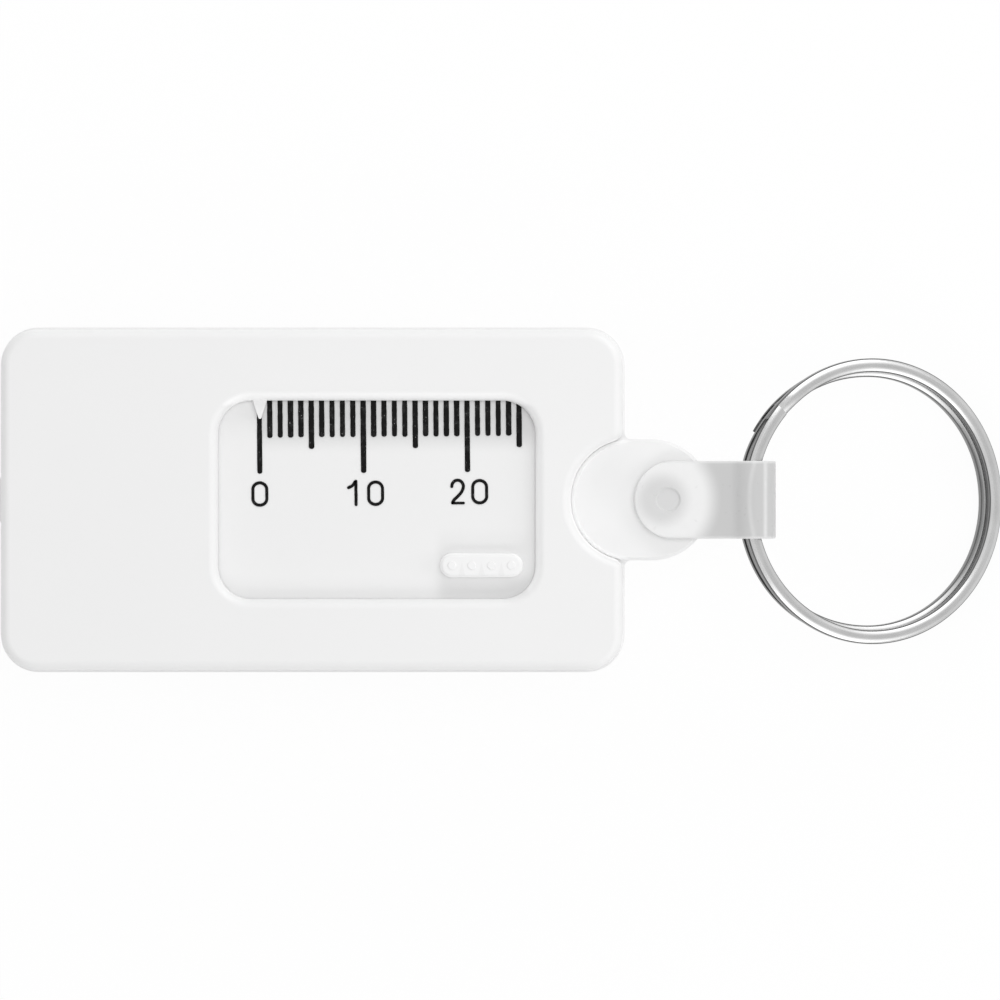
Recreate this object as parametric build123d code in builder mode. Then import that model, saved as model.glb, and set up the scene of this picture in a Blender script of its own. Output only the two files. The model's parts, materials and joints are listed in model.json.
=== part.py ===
"""Tire tread depth gauge on a key ring.

A flat two-part case holds a slide that carries a millimetre scale and a probe blade. Pushed by its grip
in the window, the slide goes towards -X and the blade comes out of the case's left end, while a pointer
on the front cover reads the scale. A strap folded round a split ring is snapped through a lug.
The origin is the centre of the case's flat back, +X runs to the ring and +Z out of the window.
"""
from build123d import *
from math import cos, radians, sin
import os

os.makedirs("parts", exist_ok=True)

# Case
case_length = 60.3
case_width = 33.3
case_height = 6.8
parting_height = 3.4
corner_radius = 3.7
flange_step = 0.25
wall = 1.0
face_thickness = 1.2
floor_thickness = 1.2
front_edge_round = 0.9
back_edge_bevel = 0.7

# Window and pointer
window_length = 30.55
window_width = 19.1
window_corner = 3.2
window_to_notch = 3.4
pointer_width = 1.35
pointer_length = 2.1
pointer_thickness = 0.55
pointer_tip_round = 0.15

# Scale
division = 1.0
division_count = 25
zero_from_window = 4.03
mark_width = 0.47
mark_height = 0.05
mark_corner = 0.12
mark_edge_gap = 0.8
short_mark_length = 4.2
medium_mark_length = 5.3
long_mark_length = 7.65
print_skew = 0.5

# Slide, whose plate covers the window at rest and travels until it meets the case's end wall
slide_clearance = 0.1
plate_width = 22.0
plate_thickness = 1.4
plate_left_cover = 0.25
plate_right_cover = 1.8
plate_corner = 0.8
plate_headroom = 0.15
plate_ledge_gap = 0.05
blade_width = 5.0
blade_thickness = 1.6
blade_overlap = 0.25
blade_tip_corner = 0.6
grip_length = 8.0
grip_width = 2.3
grip_height = 0.9
grip_end_gap = 1.2
grip_side_gap = 2.1
grip_edge = 0.35
grip_bump_count = 4
grip_bump_pitch = 1.9
grip_bump_radius = 0.42
grip_bump_height = 0.08
grip_bump_taper = 45.0
arm_length = 11.0
arm_thickness = 0.7
arm_slot = 0.5
arm_from_plate_end = 6.25
arm_bump_radius = 0.5
arm_bump_height = 0.06

# Rails and joining pins inside the case
rail_end_gap = 4.95
rail_width = 1.1
ledge_width = 1.2
rail_gap_to_face = 0.2
stop_width = 5.0
floor_rib_count = 4
floor_rib_pitch = 11.0
floor_rib_thickness = 0.8
floor_rib_height = 0.8
pin_radius = 0.75
pin_length = 2.0
pin_clearance = 0.05
socket_clearance = 0.3
post_width = 2.9
post_end_gap = 1.5
post_side_gap = 0.05
lip_length = 40.0
lip_height = 0.9
lip_thickness = 0.6
lip_clearance = 0.1
guide_length = 4.0
guide_thickness = 1.2

# Lug, with how far out its places lie from the case's end
lug_radius = 5.85
lug_root_out = 0.65
lug_end_out = 2.55
lug_thickness = 2.4
lug_edge = 0.3
lug_neck_fillet = 0.6
notch_clearance = 0.03
notch_corner = 1.2
pivot_out = 4.15
pivot_hole_radius = 2.3

# Key strap
strap_width = 7.5
strap_thickness = 0.8
strap_clearance = 0.1
strap_end_gap = 0.9
boss_running_clearance = 0.08
stud_radius = 1.22
stud_dimple = 0.15
stud_head_height = 0.3
stud_head_edge = 0.15
fold_from_pivot = 7.9
fold_cavity_radius = 1.75
fold_blend = 1.5

# Split ring
ring_outer_radius = 14.0
wire_width = 1.6
wire_thickness = 0.95
wire_bevel_share = 0.26
layer_gap = 0.05
lower_turn_inset = 0.2
ring_tilt = 22.0
ring_seat_offset = 0.3
crossover_centre = 145.0
crossover_span = 34.0
upper_end_angle = 139.0
lower_end_angle = 151.0
crossover_steps = 5

# Derived sizes
front_length = case_length - 2 * flange_step
front_width = case_width - 2 * flange_step
front_corner = corner_radius - flange_step
ceiling = case_height - face_thickness
plate_top = ceiling - plate_headroom
plate_bottom = plate_top - plate_thickness
blade_top = plate_bottom + blade_overlap
blade_bottom = blade_top - blade_thickness
slot_bottom = blade_bottom - slide_clearance
slot_top = blade_top + slide_clearance
slot_width = blade_width + 2 * slide_clearance
rail_inner_y = plate_width / 2 + slide_clearance
lug_bottom = parting_height - lug_thickness / 2
lug_root_x = case_length / 2 + lug_root_out
lug_end_x = case_length / 2 + lug_end_out
pivot_x = case_length / 2 + pivot_out
strap_end_x = case_length / 2 + strap_end_gap
fold_x = pivot_x + fold_from_pivot
notch_radius = lug_radius + notch_clearance
window_right_x = lug_root_x - notch_radius - window_to_notch
window_left_x = window_right_x - window_length
window_x = (window_left_x + window_right_x) / 2
zero_x = window_left_x + zero_from_window
plate_left_x = window_left_x - plate_left_cover
plate_right_x = window_right_x + plate_right_cover
grip_x = window_right_x - grip_end_gap - grip_length / 2
grip_y = grip_side_gap + (grip_width - window_width) / 2
arm_start_x = plate_left_x + arm_from_plate_end
strap_inner = lug_thickness / 2 + strap_clearance
strap_outer = strap_inner + strap_thickness
fold_outer_radius = fold_cavity_radius + strap_thickness
layer_pitch = wire_thickness + layer_gap
wire_radius = ring_outer_radius - wire_width / 2
seat_distance = wire_radius - ring_seat_offset
half_ring_thickness = wire_thickness + layer_gap / 2
crossover_start = crossover_centre - crossover_span / 2
crossover_end = crossover_centre + crossover_span / 2
inner_length = front_length - 2 * wall
inner_width = front_width - 2 * wall
inner_corner = front_corner - wall
post_x = (inner_length - post_width) / 2 - post_end_gap
post_y = (inner_width - post_width) / 2 - post_side_gap
stop_x = plate_right_x + slide_clearance + rail_width / 2
rail_left_x = rail_end_gap - inner_length / 2
rail_right_x = stop_x + rail_width / 2
rail_length = rail_right_x - rail_left_x
rail_x = (rail_left_x + rail_right_x) / 2
arm_slot_y = plate_width / 2 - arm_thickness - arm_slot / 2
arm_bump_y = plate_width / 2 + arm_bump_height - arm_bump_radius

# Front cover
with BuildPart() as front_cover:
    with BuildSketch(Plane.XY.offset(parting_height)) as face_outline:
        RectangleRounded(front_length, front_width, front_corner)
        with Locations((lug_root_x, 0)):
            Circle(notch_radius, mode=Mode.SUBTRACT)
        notch_corners = face_outline.vertices().group_by(Axis.X)[-1]
        fillet(notch_corners.sort_by(SortBy.DISTANCE)[:2], notch_corner)
        with Locations((window_x, 0)):
            RectangleRounded(window_length, window_width, window_corner, mode=Mode.SUBTRACT)
    extrude(amount=case_height - parting_height)
    fillet(front_cover.faces().sort_by(Axis.Z)[-1].edges(), front_edge_round)
    with BuildSketch(Plane.XY.offset(parting_height)):
        RectangleRounded(inner_length, inner_width, inner_corner)
        with Locations((lug_root_x, 0)):
            Circle(notch_radius + wall, mode=Mode.SUBTRACT)
    extrude(amount=ceiling - parting_height, mode=Mode.SUBTRACT)
    with BuildSketch(Plane.XY.offset(parting_height)):
        with GridLocations(2 * post_x, 2 * post_y, 2, 2):
            Rectangle(post_width, post_width)
    extrude(amount=ceiling - parting_height)
    with BuildSketch(Plane.XY.offset(parting_height)):
        with GridLocations(2 * post_x, 2 * post_y, 2, 2):
            RegularPolygon(pin_radius, 6)
    extrude(amount=-pin_length)
    with BuildSketch(Plane.XY.offset(parting_height)):
        with Locations((-front_length / 2, 0)):
            Rectangle(4 * wall, slot_width)
    extrude(amount=slot_top - parting_height, mode=Mode.SUBTRACT)
    with BuildSketch(Plane.XY.offset(ceiling)) as pointer_outline:
        with BuildLine():
            base_y = window_width / 2 + front_edge_round
            tip_y = window_width / 2 - pointer_length
            half = pointer_width / 2
            Polyline(
                (zero_x - half, base_y),
                (zero_x - half, window_width / 2),
                (zero_x, tip_y),
                (zero_x + half, window_width / 2),
                (zero_x + half, base_y),
                close=True,
            )
        make_face()
        fillet(pointer_outline.vertices().sort_by(Axis.Y)[0], pointer_tip_round)
    extrude(amount=pointer_thickness)

# Back cover
with BuildPart() as back_cover:
    with BuildSketch():
        RectangleRounded(case_length, case_width, corner_radius)
    extrude(amount=parting_height)
    chamfer(back_cover.faces().sort_by(Axis.Z)[0].edges(), back_edge_bevel)
    with BuildSketch(Plane.XY.offset(floor_thickness)):
        RectangleRounded(inner_length, inner_width, inner_corner)
        with Locations((lug_root_x, 0)):
            Circle(lug_radius, mode=Mode.SUBTRACT)
    extrude(amount=parting_height - floor_thickness, mode=Mode.SUBTRACT)
    with BuildSketch(Plane.XY.offset(lug_bottom)):
        with Locations(((lug_root_x + lug_end_x) / 2, 0)):
            SlotCenterToCenter(lug_end_x - lug_root_x, 2 * lug_radius)
    extrude(amount=lug_thickness)
    chamfer(back_cover.faces().sort_by(Axis.Z)[-1].edges(), lug_edge)
    neck = back_cover.edges().filter_by(Axis.Z).filter_by_position(Axis.X, case_length / 2, case_length / 2)
    fillet(neck.filter_by_position(Axis.Y, -lug_radius, lug_radius), lug_neck_fillet)
    with BuildSketch(Plane.XY.offset(lug_bottom)):
        with Locations((pivot_x, 0)):
            Circle(pivot_hole_radius)
    extrude(amount=lug_thickness, mode=Mode.SUBTRACT)
    # Rails beside the slide, with a ledge under its edges and a stop behind it
    with BuildSketch(Plane.XY.offset(floor_thickness)):
        with Locations((rail_x, 0)):
            with GridLocations(0, 2 * rail_inner_y + rail_width, 1, 2):
                Rectangle(rail_length, rail_width)
        with Locations((stop_x, 0)):
            with GridLocations(0, 2 * (rail_inner_y + rail_width) - stop_width, 1, 2):
                Rectangle(rail_width, stop_width)
    extrude(amount=ceiling - rail_gap_to_face - floor_thickness)
    with BuildSketch(Plane.XY.offset(floor_thickness)):
        with Locations((rail_x, 0)):
            with GridLocations(0, 2 * rail_inner_y - ledge_width, 1, 2):
                Rectangle(rail_length, ledge_width)
    extrude(amount=plate_bottom - plate_ledge_gap - floor_thickness)
    # Floor ribs, and guide blocks inside the blade's slot
    with BuildSketch(Plane.XY.offset(floor_thickness)):
        with GridLocations(floor_rib_pitch, 0, floor_rib_count, 1):
            Rectangle(floor_rib_thickness, 2 * rail_inner_y)
    extrude(amount=floor_rib_height)
    with BuildSketch(Plane.XY.offset(floor_thickness)):
        with Locations(((guide_length - inner_length) / 2, 0)):
            with GridLocations(0, slot_width + guide_thickness, 1, 2):
                Rectangle(guide_length, guide_thickness)
    extrude(amount=parting_height - floor_thickness)
    with BuildSketch(Plane.XY.offset(slot_bottom)):
        with Locations((-case_length / 2, 0)):
            Rectangle(4 * wall, slot_width)
    extrude(amount=parting_height - slot_bottom, mode=Mode.SUBTRACT)
    # Locating lips along the long walls, and corner posts with round sockets for the hexagonal pins
    with BuildSketch(Plane.XY.offset(floor_thickness)):
        with GridLocations(0, inner_width - lip_clearance - lip_thickness, 1, 2):
            Rectangle(lip_length, lip_thickness + lip_clearance)
    extrude(amount=parting_height - floor_thickness)
    with BuildSketch(Plane.XY.offset(parting_height)):
        with GridLocations(0, inner_width - 2 * lip_clearance - lip_thickness, 1, 2):
            Rectangle(lip_length, lip_thickness)
    extrude(amount=lip_height)
    with BuildSketch(Plane.XY.offset(floor_thickness)):
        with GridLocations(2 * post_x, 2 * post_y, 2, 2):
            Rectangle(post_width, post_width)
    extrude(amount=parting_height - floor_thickness)
    with BuildSketch(Plane.XY.offset(parting_height)):
        with GridLocations(2 * post_x, 2 * post_y, 2, 2):
            Circle(pin_radius + pin_clearance)
    extrude(amount=-pin_length - socket_clearance, mode=Mode.SUBTRACT)

# Slide: scale plate, probe blade, thumb grip and friction arms
with BuildPart() as slide:
    with BuildSketch(Plane.XY.offset(plate_bottom)):
        with Locations(((plate_left_x + plate_right_x) / 2, 0)):
            RectangleRounded(plate_right_x - plate_left_x, plate_width, plate_corner)
        for side in (-1, 1):
            with Locations((arm_start_x + arm_length / 2, side * arm_slot_y)):
                Rectangle(arm_length, arm_slot, mode=Mode.SUBTRACT)
            with Locations((arm_start_x - arm_slot / 2, side * plate_width / 2)):
                Rectangle(arm_slot, 2 * arm_thickness + 2 * arm_slot, mode=Mode.SUBTRACT)
            with Locations((arm_start_x + 2 * arm_bump_radius, side * arm_bump_y)):
                Circle(arm_bump_radius)
    extrude(amount=plate_thickness)
    with BuildSketch(Plane.XY.offset(blade_bottom)):
        with Locations(((plate_right_x - case_length / 2) / 2, 0)):
            RectangleRounded(plate_right_x + case_length / 2, blade_width, blade_tip_corner)
    extrude(amount=blade_thickness)
    with BuildSketch(Plane.XY.offset(plate_top)):
        with Locations((grip_x, grip_y)):
            SlotOverall(grip_length, grip_width)
    extrude(amount=grip_height)
    fillet(slide.faces().sort_by(Axis.Z)[-1].edges(), grip_edge)
    with BuildSketch(Plane.XY.offset(plate_top + grip_height)):
        with Locations((grip_x, grip_y)):
            with GridLocations(grip_bump_pitch, 0, grip_bump_count, 1):
                Circle(grip_bump_radius)
    extrude(amount=grip_bump_height, taper=grip_bump_taper)

# Stamped scale: one mark a millimetre, longer every fifth, longest every tenth
with BuildPart() as scale_marks:
    with BuildSketch(Plane.XY.offset(plate_top).rotated((0, 0, print_skew))) as mark_outlines:
        for division_index in range(division_count + 1):
            if division_index % 10 == 0:
                mark_length = long_mark_length
            elif division_index % 5 == 0:
                mark_length = medium_mark_length
            else:
                mark_length = short_mark_length
            with Locations((zero_x + division_index * division, plate_width / 2 - mark_edge_gap)):
                Rectangle(mark_width, mark_length, align=(Align.CENTER, Align.MAX))
        chamfer(mark_outlines.vertices(), mark_corner)
    extrude(amount=mark_height)

# Key strap: a band folded round the ring, with its boss snapped through the lug
with BuildPart() as key_strap:
    with BuildSketch(Plane.XZ) as strap_profile:
        with Locations((fold_x, parting_height)):
            Circle(fold_outer_radius)
        with Locations(((strap_end_x + fold_x) / 2, parting_height)):
            Rectangle(fold_x - strap_end_x, 2 * strap_outer)
        fillet(strap_profile.vertices().sort_by(Axis.X)[2:4], fold_blend)
    extrude(amount=strap_width / 2, both=True)
    with BuildSketch(Plane.XZ):
        with Locations((fold_x, parting_height)):
            Circle(fold_cavity_radius)
        with Locations(((strap_end_x + fold_x) / 2 - strap_thickness, parting_height)):
            Rectangle(fold_x - strap_end_x + 2 * strap_thickness, 2 * strap_inner)
    extrude(amount=strap_width / 2, both=True, mode=Mode.SUBTRACT)
    with BuildSketch():
        with Locations((strap_end_x + strap_width / 2, 0)):
            Circle(strap_width / 2)
        with Locations((strap_end_x + strap_width / 2, 0)):
            Rectangle(fold_x, strap_width, align=(Align.MIN, Align.CENTER))
    extrude(amount=case_height, mode=Mode.INTERSECT)
    with BuildSketch(Plane.XY.offset(parting_height)):
        with Locations((pivot_x, 0)):
            Circle(pivot_hole_radius - boss_running_clearance)
    extrude(amount=strap_inner, both=True)
    with BuildSketch(Plane.XY.offset(parting_height + strap_outer)):
        with Locations((pivot_x, 0)):
            Circle(stud_radius)
    extrude(amount=-stud_dimple, mode=Mode.SUBTRACT)
    with BuildSketch(Plane.XY.offset(parting_height - strap_outer)):
        with Locations((pivot_x, 0)):
            Circle(stud_radius)
    extrude(amount=-stud_head_height)
    chamfer(key_strap.faces().sort_by(Axis.Z)[0].edges(), stud_head_edge)

# Split ring: one flat wire wound two turns, with one step from the upper layer to the lower one
ring_plane = Plane(
    origin=(
        fold_x + seat_distance * cos(radians(ring_tilt)),
        0,
        parting_height - seat_distance * sin(radians(ring_tilt)),
    ),
    x_dir=(cos(radians(ring_tilt)), 0, -sin(radians(ring_tilt))),
    z_dir=(sin(radians(ring_tilt)), 0, cos(radians(ring_tilt))),
)


def stepped_down(wound_angle):
    """Share of the step between the layers, which the wire takes after its first turn."""
    share = (wound_angle - 360 - crossover_start) / crossover_span
    share = min(max(share, 0), 1)
    return share * share * (3 - 2 * share)


def wire_levels(wound_angle):
    """Bottom and top of the wire over the ring's middle plane, where each end is ground to fit the step."""
    if wound_angle < crossover_end:
        return wire_levels(wound_angle + 360)[1] + layer_gap, half_ring_thickness
    if wound_angle > crossover_start + 720:
        return -half_ring_thickness, wire_levels(wound_angle - 360)[0] - layer_gap
    middle = (0.5 - stepped_down(wound_angle)) * layer_pitch
    return middle - wire_thickness / 2, middle + wire_thickness / 2


def wire_section_plane(wound_angle):
    """Plane across the wire, with x outwards from the ring's centre and y along the ring's axis."""
    radius = wire_radius - lower_turn_inset * stepped_down(wound_angle)
    height = sum(wire_levels(wound_angle)) / 2
    across = cos(radians(wound_angle))
    along = sin(radians(wound_angle))
    centre = ring_plane.from_local_coords(Vector(radius * across, radius * along, height))
    axis_point = ring_plane.from_local_coords(Vector(0, 0, height))
    outward = (centre - axis_point).normalized()
    return Plane(origin=centre, x_dir=outward, z_dir=outward.cross(ring_plane.z_dir))


stepping_stretches = (
    (upper_end_angle, crossover_end),
    (crossover_start + 360, crossover_end + 360),
    (crossover_start + 720, lower_end_angle + 720),
)
with BuildPart() as split_ring:
    for stretch_start, stretch_end in stepping_stretches:
        for step in range(crossover_steps + 1):
            section_angle = stretch_start + (stretch_end - stretch_start) * step / crossover_steps
            section_bottom, section_top = wire_levels(section_angle)
            section_thickness = section_top - section_bottom
            with BuildSketch(wire_section_plane(section_angle)) as wire_section:
                Rectangle(wire_width, section_thickness)
                chamfer(wire_section.vertices(), wire_bevel_share * section_thickness)
        loft()
    for turn in range(2):
        with BuildSketch(wire_section_plane(crossover_end + 360 * turn)) as wire_section:
            Rectangle(wire_width, wire_thickness)
            chamfer(wire_section.vertices(), wire_bevel_share * wire_thickness)
        revolve(axis=Axis(ring_plane.origin, ring_plane.z_dir), revolution_arc=360 - crossover_span)

pieces = {
    "front_cover": front_cover,
    "back_cover": back_cover,
    "slide": slide,
    "scale_marks": scale_marks,
    "key_strap": key_strap,
    "split_ring": split_ring,
}
for piece_name, piece in pieces.items():
    piece.part.label = piece_name
    export_step(piece.part, f"parts/{piece_name}.step")
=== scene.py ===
"""Looks of a key-ring tread depth gauge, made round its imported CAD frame.

Sizes are in millimetres, as on the part, and become the frame's metres where a mesh, lamp or camera is made.
"""

import json
import logging
import math
import random
from collections.abc import Callable, Sequence
from dataclasses import dataclass, field
from enum import Enum

import bmesh
import bpy
from mathutils import Matrix, Vector
from mathutils.geometry import tessellate_polygon

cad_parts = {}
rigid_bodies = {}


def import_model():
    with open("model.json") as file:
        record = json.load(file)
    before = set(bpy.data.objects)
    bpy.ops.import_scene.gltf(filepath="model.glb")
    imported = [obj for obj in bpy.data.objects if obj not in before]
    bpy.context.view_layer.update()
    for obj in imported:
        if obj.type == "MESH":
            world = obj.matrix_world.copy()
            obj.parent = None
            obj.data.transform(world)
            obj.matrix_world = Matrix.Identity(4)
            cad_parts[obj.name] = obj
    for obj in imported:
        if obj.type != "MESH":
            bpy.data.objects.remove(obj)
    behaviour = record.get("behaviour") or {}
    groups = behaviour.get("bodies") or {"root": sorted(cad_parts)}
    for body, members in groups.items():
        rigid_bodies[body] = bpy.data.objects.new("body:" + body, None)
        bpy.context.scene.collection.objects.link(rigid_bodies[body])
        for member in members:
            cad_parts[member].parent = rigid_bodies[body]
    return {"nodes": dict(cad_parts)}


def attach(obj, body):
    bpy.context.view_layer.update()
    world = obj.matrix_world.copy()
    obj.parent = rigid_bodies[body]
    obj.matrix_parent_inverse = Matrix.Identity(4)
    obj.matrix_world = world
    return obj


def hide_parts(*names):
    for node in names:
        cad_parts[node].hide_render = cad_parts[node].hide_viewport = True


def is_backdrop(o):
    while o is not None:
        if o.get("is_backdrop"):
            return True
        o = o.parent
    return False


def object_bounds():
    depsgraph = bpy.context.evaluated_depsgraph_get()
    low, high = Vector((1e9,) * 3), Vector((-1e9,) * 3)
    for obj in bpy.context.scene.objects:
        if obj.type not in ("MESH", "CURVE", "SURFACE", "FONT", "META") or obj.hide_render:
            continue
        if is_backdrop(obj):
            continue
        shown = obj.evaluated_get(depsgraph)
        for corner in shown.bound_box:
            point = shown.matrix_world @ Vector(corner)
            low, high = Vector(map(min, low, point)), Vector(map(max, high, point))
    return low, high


METRES = 0.001
log = logging.getLogger("tread_gauge")

Point = tuple[float, float]
Grey = float


class Signal:
    """A number socket that takes part in Python arithmetic, where each operation adds one Math node."""

    def __init__(self, graph: "Graph", socket: bpy.types.NodeSocket) -> None:
        """Keep the socket and the graph that its Math nodes go into."""
        self.graph = graph
        self.socket = socket

    def math(self, operation: str, *operands: "Signal | float") -> "Signal":
        """Add one Math node.

        Args:
            operation: Blender's name for the operation.
            operands: The node's inputs in order.

        Returns:
            The node's result.
        """
        inputs = dict(enumerate(operands))
        return self.graph.signal("ShaderNodeMath", {"operation": operation}, inputs)

    def __add__(self, other: "Signal | float") -> "Signal":
        """Sum."""
        return self.math("ADD", self, other)

    def __sub__(self, other: "Signal | float") -> "Signal":
        """Difference."""
        return self.math("SUBTRACT", self, other)

    def __rsub__(self, other: float) -> "Signal":
        """Difference from a number."""
        return self.math("SUBTRACT", other, self)

    def __mul__(self, other: "Signal | float") -> "Signal":
        """Product."""
        return self.math("MULTIPLY", self, other)

    def __truediv__(self, other: "Signal | float") -> "Signal":
        """Quotient."""
        return self.math("DIVIDE", self, other)

    def __rtruediv__(self, other: float) -> "Signal":
        """Quotient of a number."""
        return self.math("DIVIDE", other, self)

    def __pow__(self, other: float) -> "Signal":
        """Power."""
        return self.math("POWER", self, other)

    __radd__ = __add__
    __rmul__ = __mul__

    def root(self) -> "Signal":
        """Square root."""
        return self.math("SQRT", self)

    def size(self) -> "Signal":
        """Value without its sign."""
        return self.math("ABSOLUTE", self)

    def larger(self, other: "Signal | float") -> "Signal":
        """The larger of two values."""
        return self.math("MAXIMUM", self, other)

    def ease(self, start: float, end: float) -> "Signal":
        """Smooth step.

        Args:
            start: Value at which the step is still 0.
            end: Value at which it has reached 1; it may be below start.

        Returns:
            A signal from 0 to 1.
        """
        settings = {"interpolation_type": "SMOOTHSTEP", "clamp": True}
        if start < end:
            inputs = {"Value": self, "From Min": start, "From Max": end}
            return self.graph.signal("ShaderNodeMapRange", settings, inputs)
        return 1 - self.ease(end, start)


class Shade:
    """A colour socket; colours meet only in Mix nodes."""

    def __init__(self, graph: "Graph", socket: bpy.types.NodeSocket) -> None:
        """Keep the socket and its graph."""
        self.graph = graph
        self.socket = socket

    def towards(self, other: "Shade | Grey", factor: Signal) -> "Shade":
        """Mix with another colour.

        Args:
            other: The other colour, or a plain grey.
            factor: Share of the other colour, from 0 to 1.

        Returns:
            The mixed colour.
        """
        settings = {"data_type": "RGBA", "blend_type": "MIX", "clamp_factor": True}
        inputs = {"Factor": factor, 6: self, 7: other}
        return Shade(self.graph, self.graph.add("ShaderNodeMix", settings, inputs).outputs[2])


class Graph:
    """The node tree of one material, or of the world."""

    def __init__(self, tree: bpy.types.NodeTree) -> None:
        """Empty the tree."""
        self.tree = tree
        tree.nodes.clear()

    def add(self, kind: str, settings: dict | None = None, inputs: dict | None = None) -> bpy.types.Node:
        """Add one node: its settings come first, then its inputs.

        Args:
            kind: Blender's node type.
            settings: The node's own properties.
            inputs: Values, signals, shades, vectors or sockets by input name or number.

        Returns:
            The new node.
        """
        node = self.tree.nodes.new(kind)
        for name, value in (settings or {}).items():
            setattr(node, name, value)
        for name, value in (inputs or {}).items():
            socket = node.inputs[name]
            if isinstance(value, (Signal, Shade)):
                value = value.socket
            if isinstance(value, bpy.types.NodeSocket):
                self.tree.links.new(value, socket)
            elif socket.type == "RGBA" and isinstance(value, (int, float)):
                socket.default_value = (value, value, value, 1)
            else:
                socket.default_value = value
        return node

    def signal(
        self, kind: str, settings: dict | None = None, inputs: dict | None = None, output: str | int = 0
    ) -> Signal:
        """Add a node and take one of its number outputs."""
        return Signal(self, self.add(kind, settings, inputs).outputs[output])

    def place(self) -> tuple[bpy.types.NodeSocket, Signal, Signal, Signal]:
        """Give the point on the piece.

        Returns:
            The point as a vector in metres, and its x, y and z in millimetres.
        """
        coordinates = self.add("ShaderNodeTexCoord").outputs["Object"]
        apart = self.add("ShaderNodeSeparateXYZ", inputs={0: coordinates})
        x, y, z = (Signal(self, socket) / METRES for socket in apart.outputs)
        return coordinates, x, y, z

    def noise(
        self, vector: bpy.types.NodeSocket, grain: float, detail: float = 2, roughness: float = 0.5
    ) -> Signal:
        """Add a noise texture.

        Args:
            vector: Where it is read, in metres.
            grain: Size of its features in millimetres.
            detail: Octaves of finer features.
            roughness: Share that the finer features keep.

        Returns:
            Noise around 0.5.
        """
        scale = 1 / (grain * METRES)
        inputs = {"Vector": vector, "Scale": scale, "Detail": detail, "Roughness": roughness}
        return self.signal("ShaderNodeTexNoise", None, inputs)

    def grey(self, value: Signal) -> Shade:
        """Turn a number into a grey."""
        parts = {"Red": value, "Green": value, "Blue": value}
        return Shade(self, self.add("ShaderNodeCombineColor", None, parts).outputs[0])

    def facing(self, direction: tuple[float, float, float]) -> Signal:
        """Give how far the surface faces a direction of the piece, from -1 to 1."""
        inputs = {0: self.add("ShaderNodeTexCoord").outputs["Normal"], 1: direction}
        return self.signal("ShaderNodeVectorMath", {"operation": "DOT_PRODUCT"}, inputs, "Value")

    def direction(self, rise: Signal, run: Signal) -> Signal:
        """Give the direction of a point in radians from its two distances."""
        return self.signal("ShaderNodeMath", {"operation": "ARCTAN2"}, {0: rise, 1: run})

    def seen(self) -> Signal:
        """Give 1 to the eye, to reflections and through clear pieces, and 0 to all other light.

        Returns:
            The signal, for a strength or a mix.
        """
        rays = self.add("ShaderNodeLightPath")
        names = ("Is Camera Ray", "Is Glossy Ray", "Is Transmission Ray")
        camera, glossy, through = (Signal(self, rays.outputs[name]) for name in names)
        return camera.larger(glossy).larger(through)

    def bump(self, height: Signal, distance: float, strength: float = 1.0) -> bpy.types.NodeSocket:
        """Turn heights into a normal.

        Args:
            height: Height from 0 to 1.
            distance: Millimetres that 1 stands for.
            strength: Share of the effect.

        Returns:
            The bumped normal.
        """
        inputs = {"Height": height, "Distance": distance * METRES, "Strength": strength}
        return self.add("ShaderNodeBump", None, inputs).outputs[0]


class Finish:
    """What every finish has in common: a name, and a material whose shader its own method builds."""

    name: str = "finish"

    def make(self) -> bpy.types.Material:
        """Build the material.

        Returns:
            The material with its nodes.
        """
        material = bpy.data.materials.new(self.name)
        material.use_nodes = True
        graph = Graph(material.node_tree)
        shader = self.dress(graph)
        graph.add("ShaderNodeOutputMaterial", None, {"Surface": shader.outputs[0]})
        return material

    def dress(self, graph: Graph) -> bpy.types.Node:
        """Build the nodes up to the shader; each finish has its own."""
        raise NotImplementedError


@dataclass(frozen=True)
class MouldedWhite(Finish):
    """Satin white moulding: faint flow clouds, a fine spark-eroded grain and a few dust specks."""

    name: str = "satin_white_moulding"
    shade: Grey = 0.875
    cloud_grain: float = 14.0
    cloud_depth: float = 0.02
    texture_grain: float = 0.16
    texture_height: float = 0.0012
    roughness: float = 0.42
    roughness_swing: float = 0.1
    speck_grain: float = 1.1
    speck_shade: Grey = 0.7
    speck_levels: tuple[float, float] = (0.79, 0.84)
    refraction: float = 1.49

    def tint(self, graph: Graph, white: Shade, x: Signal, y: Signal, z: Signal) -> Shade:
        """Give the white as it is; a moulding with painted lighter or greyer places changes it."""
        return white

    def dress(self, graph: Graph) -> bpy.types.Node:
        """Cloud the white, tint it in places, then grain it.

        Args:
            graph: The material's nodes.

        Returns:
            The shader.
        """
        point, *place = graph.place()
        cloud = graph.noise(point, self.cloud_grain, detail=3)
        grain = graph.noise(point, self.texture_grain, detail=2)
        speck = graph.noise(point, self.speck_grain, detail=4, roughness=0.7).ease(*self.speck_levels)
        white = graph.grey(self.shade + self.cloud_depth * (cloud - 0.5))
        inputs = {
            "Base Color": self.tint(graph, white, *place).towards(self.speck_shade, speck),
            "Roughness": self.roughness + self.roughness_swing * (cloud - 0.5),
            "Normal": graph.bump(grain, self.texture_height),
            "IOR": self.refraction,
        }
        return graph.add("ShaderNodeBsdfPrincipled", None, inputs)


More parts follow.
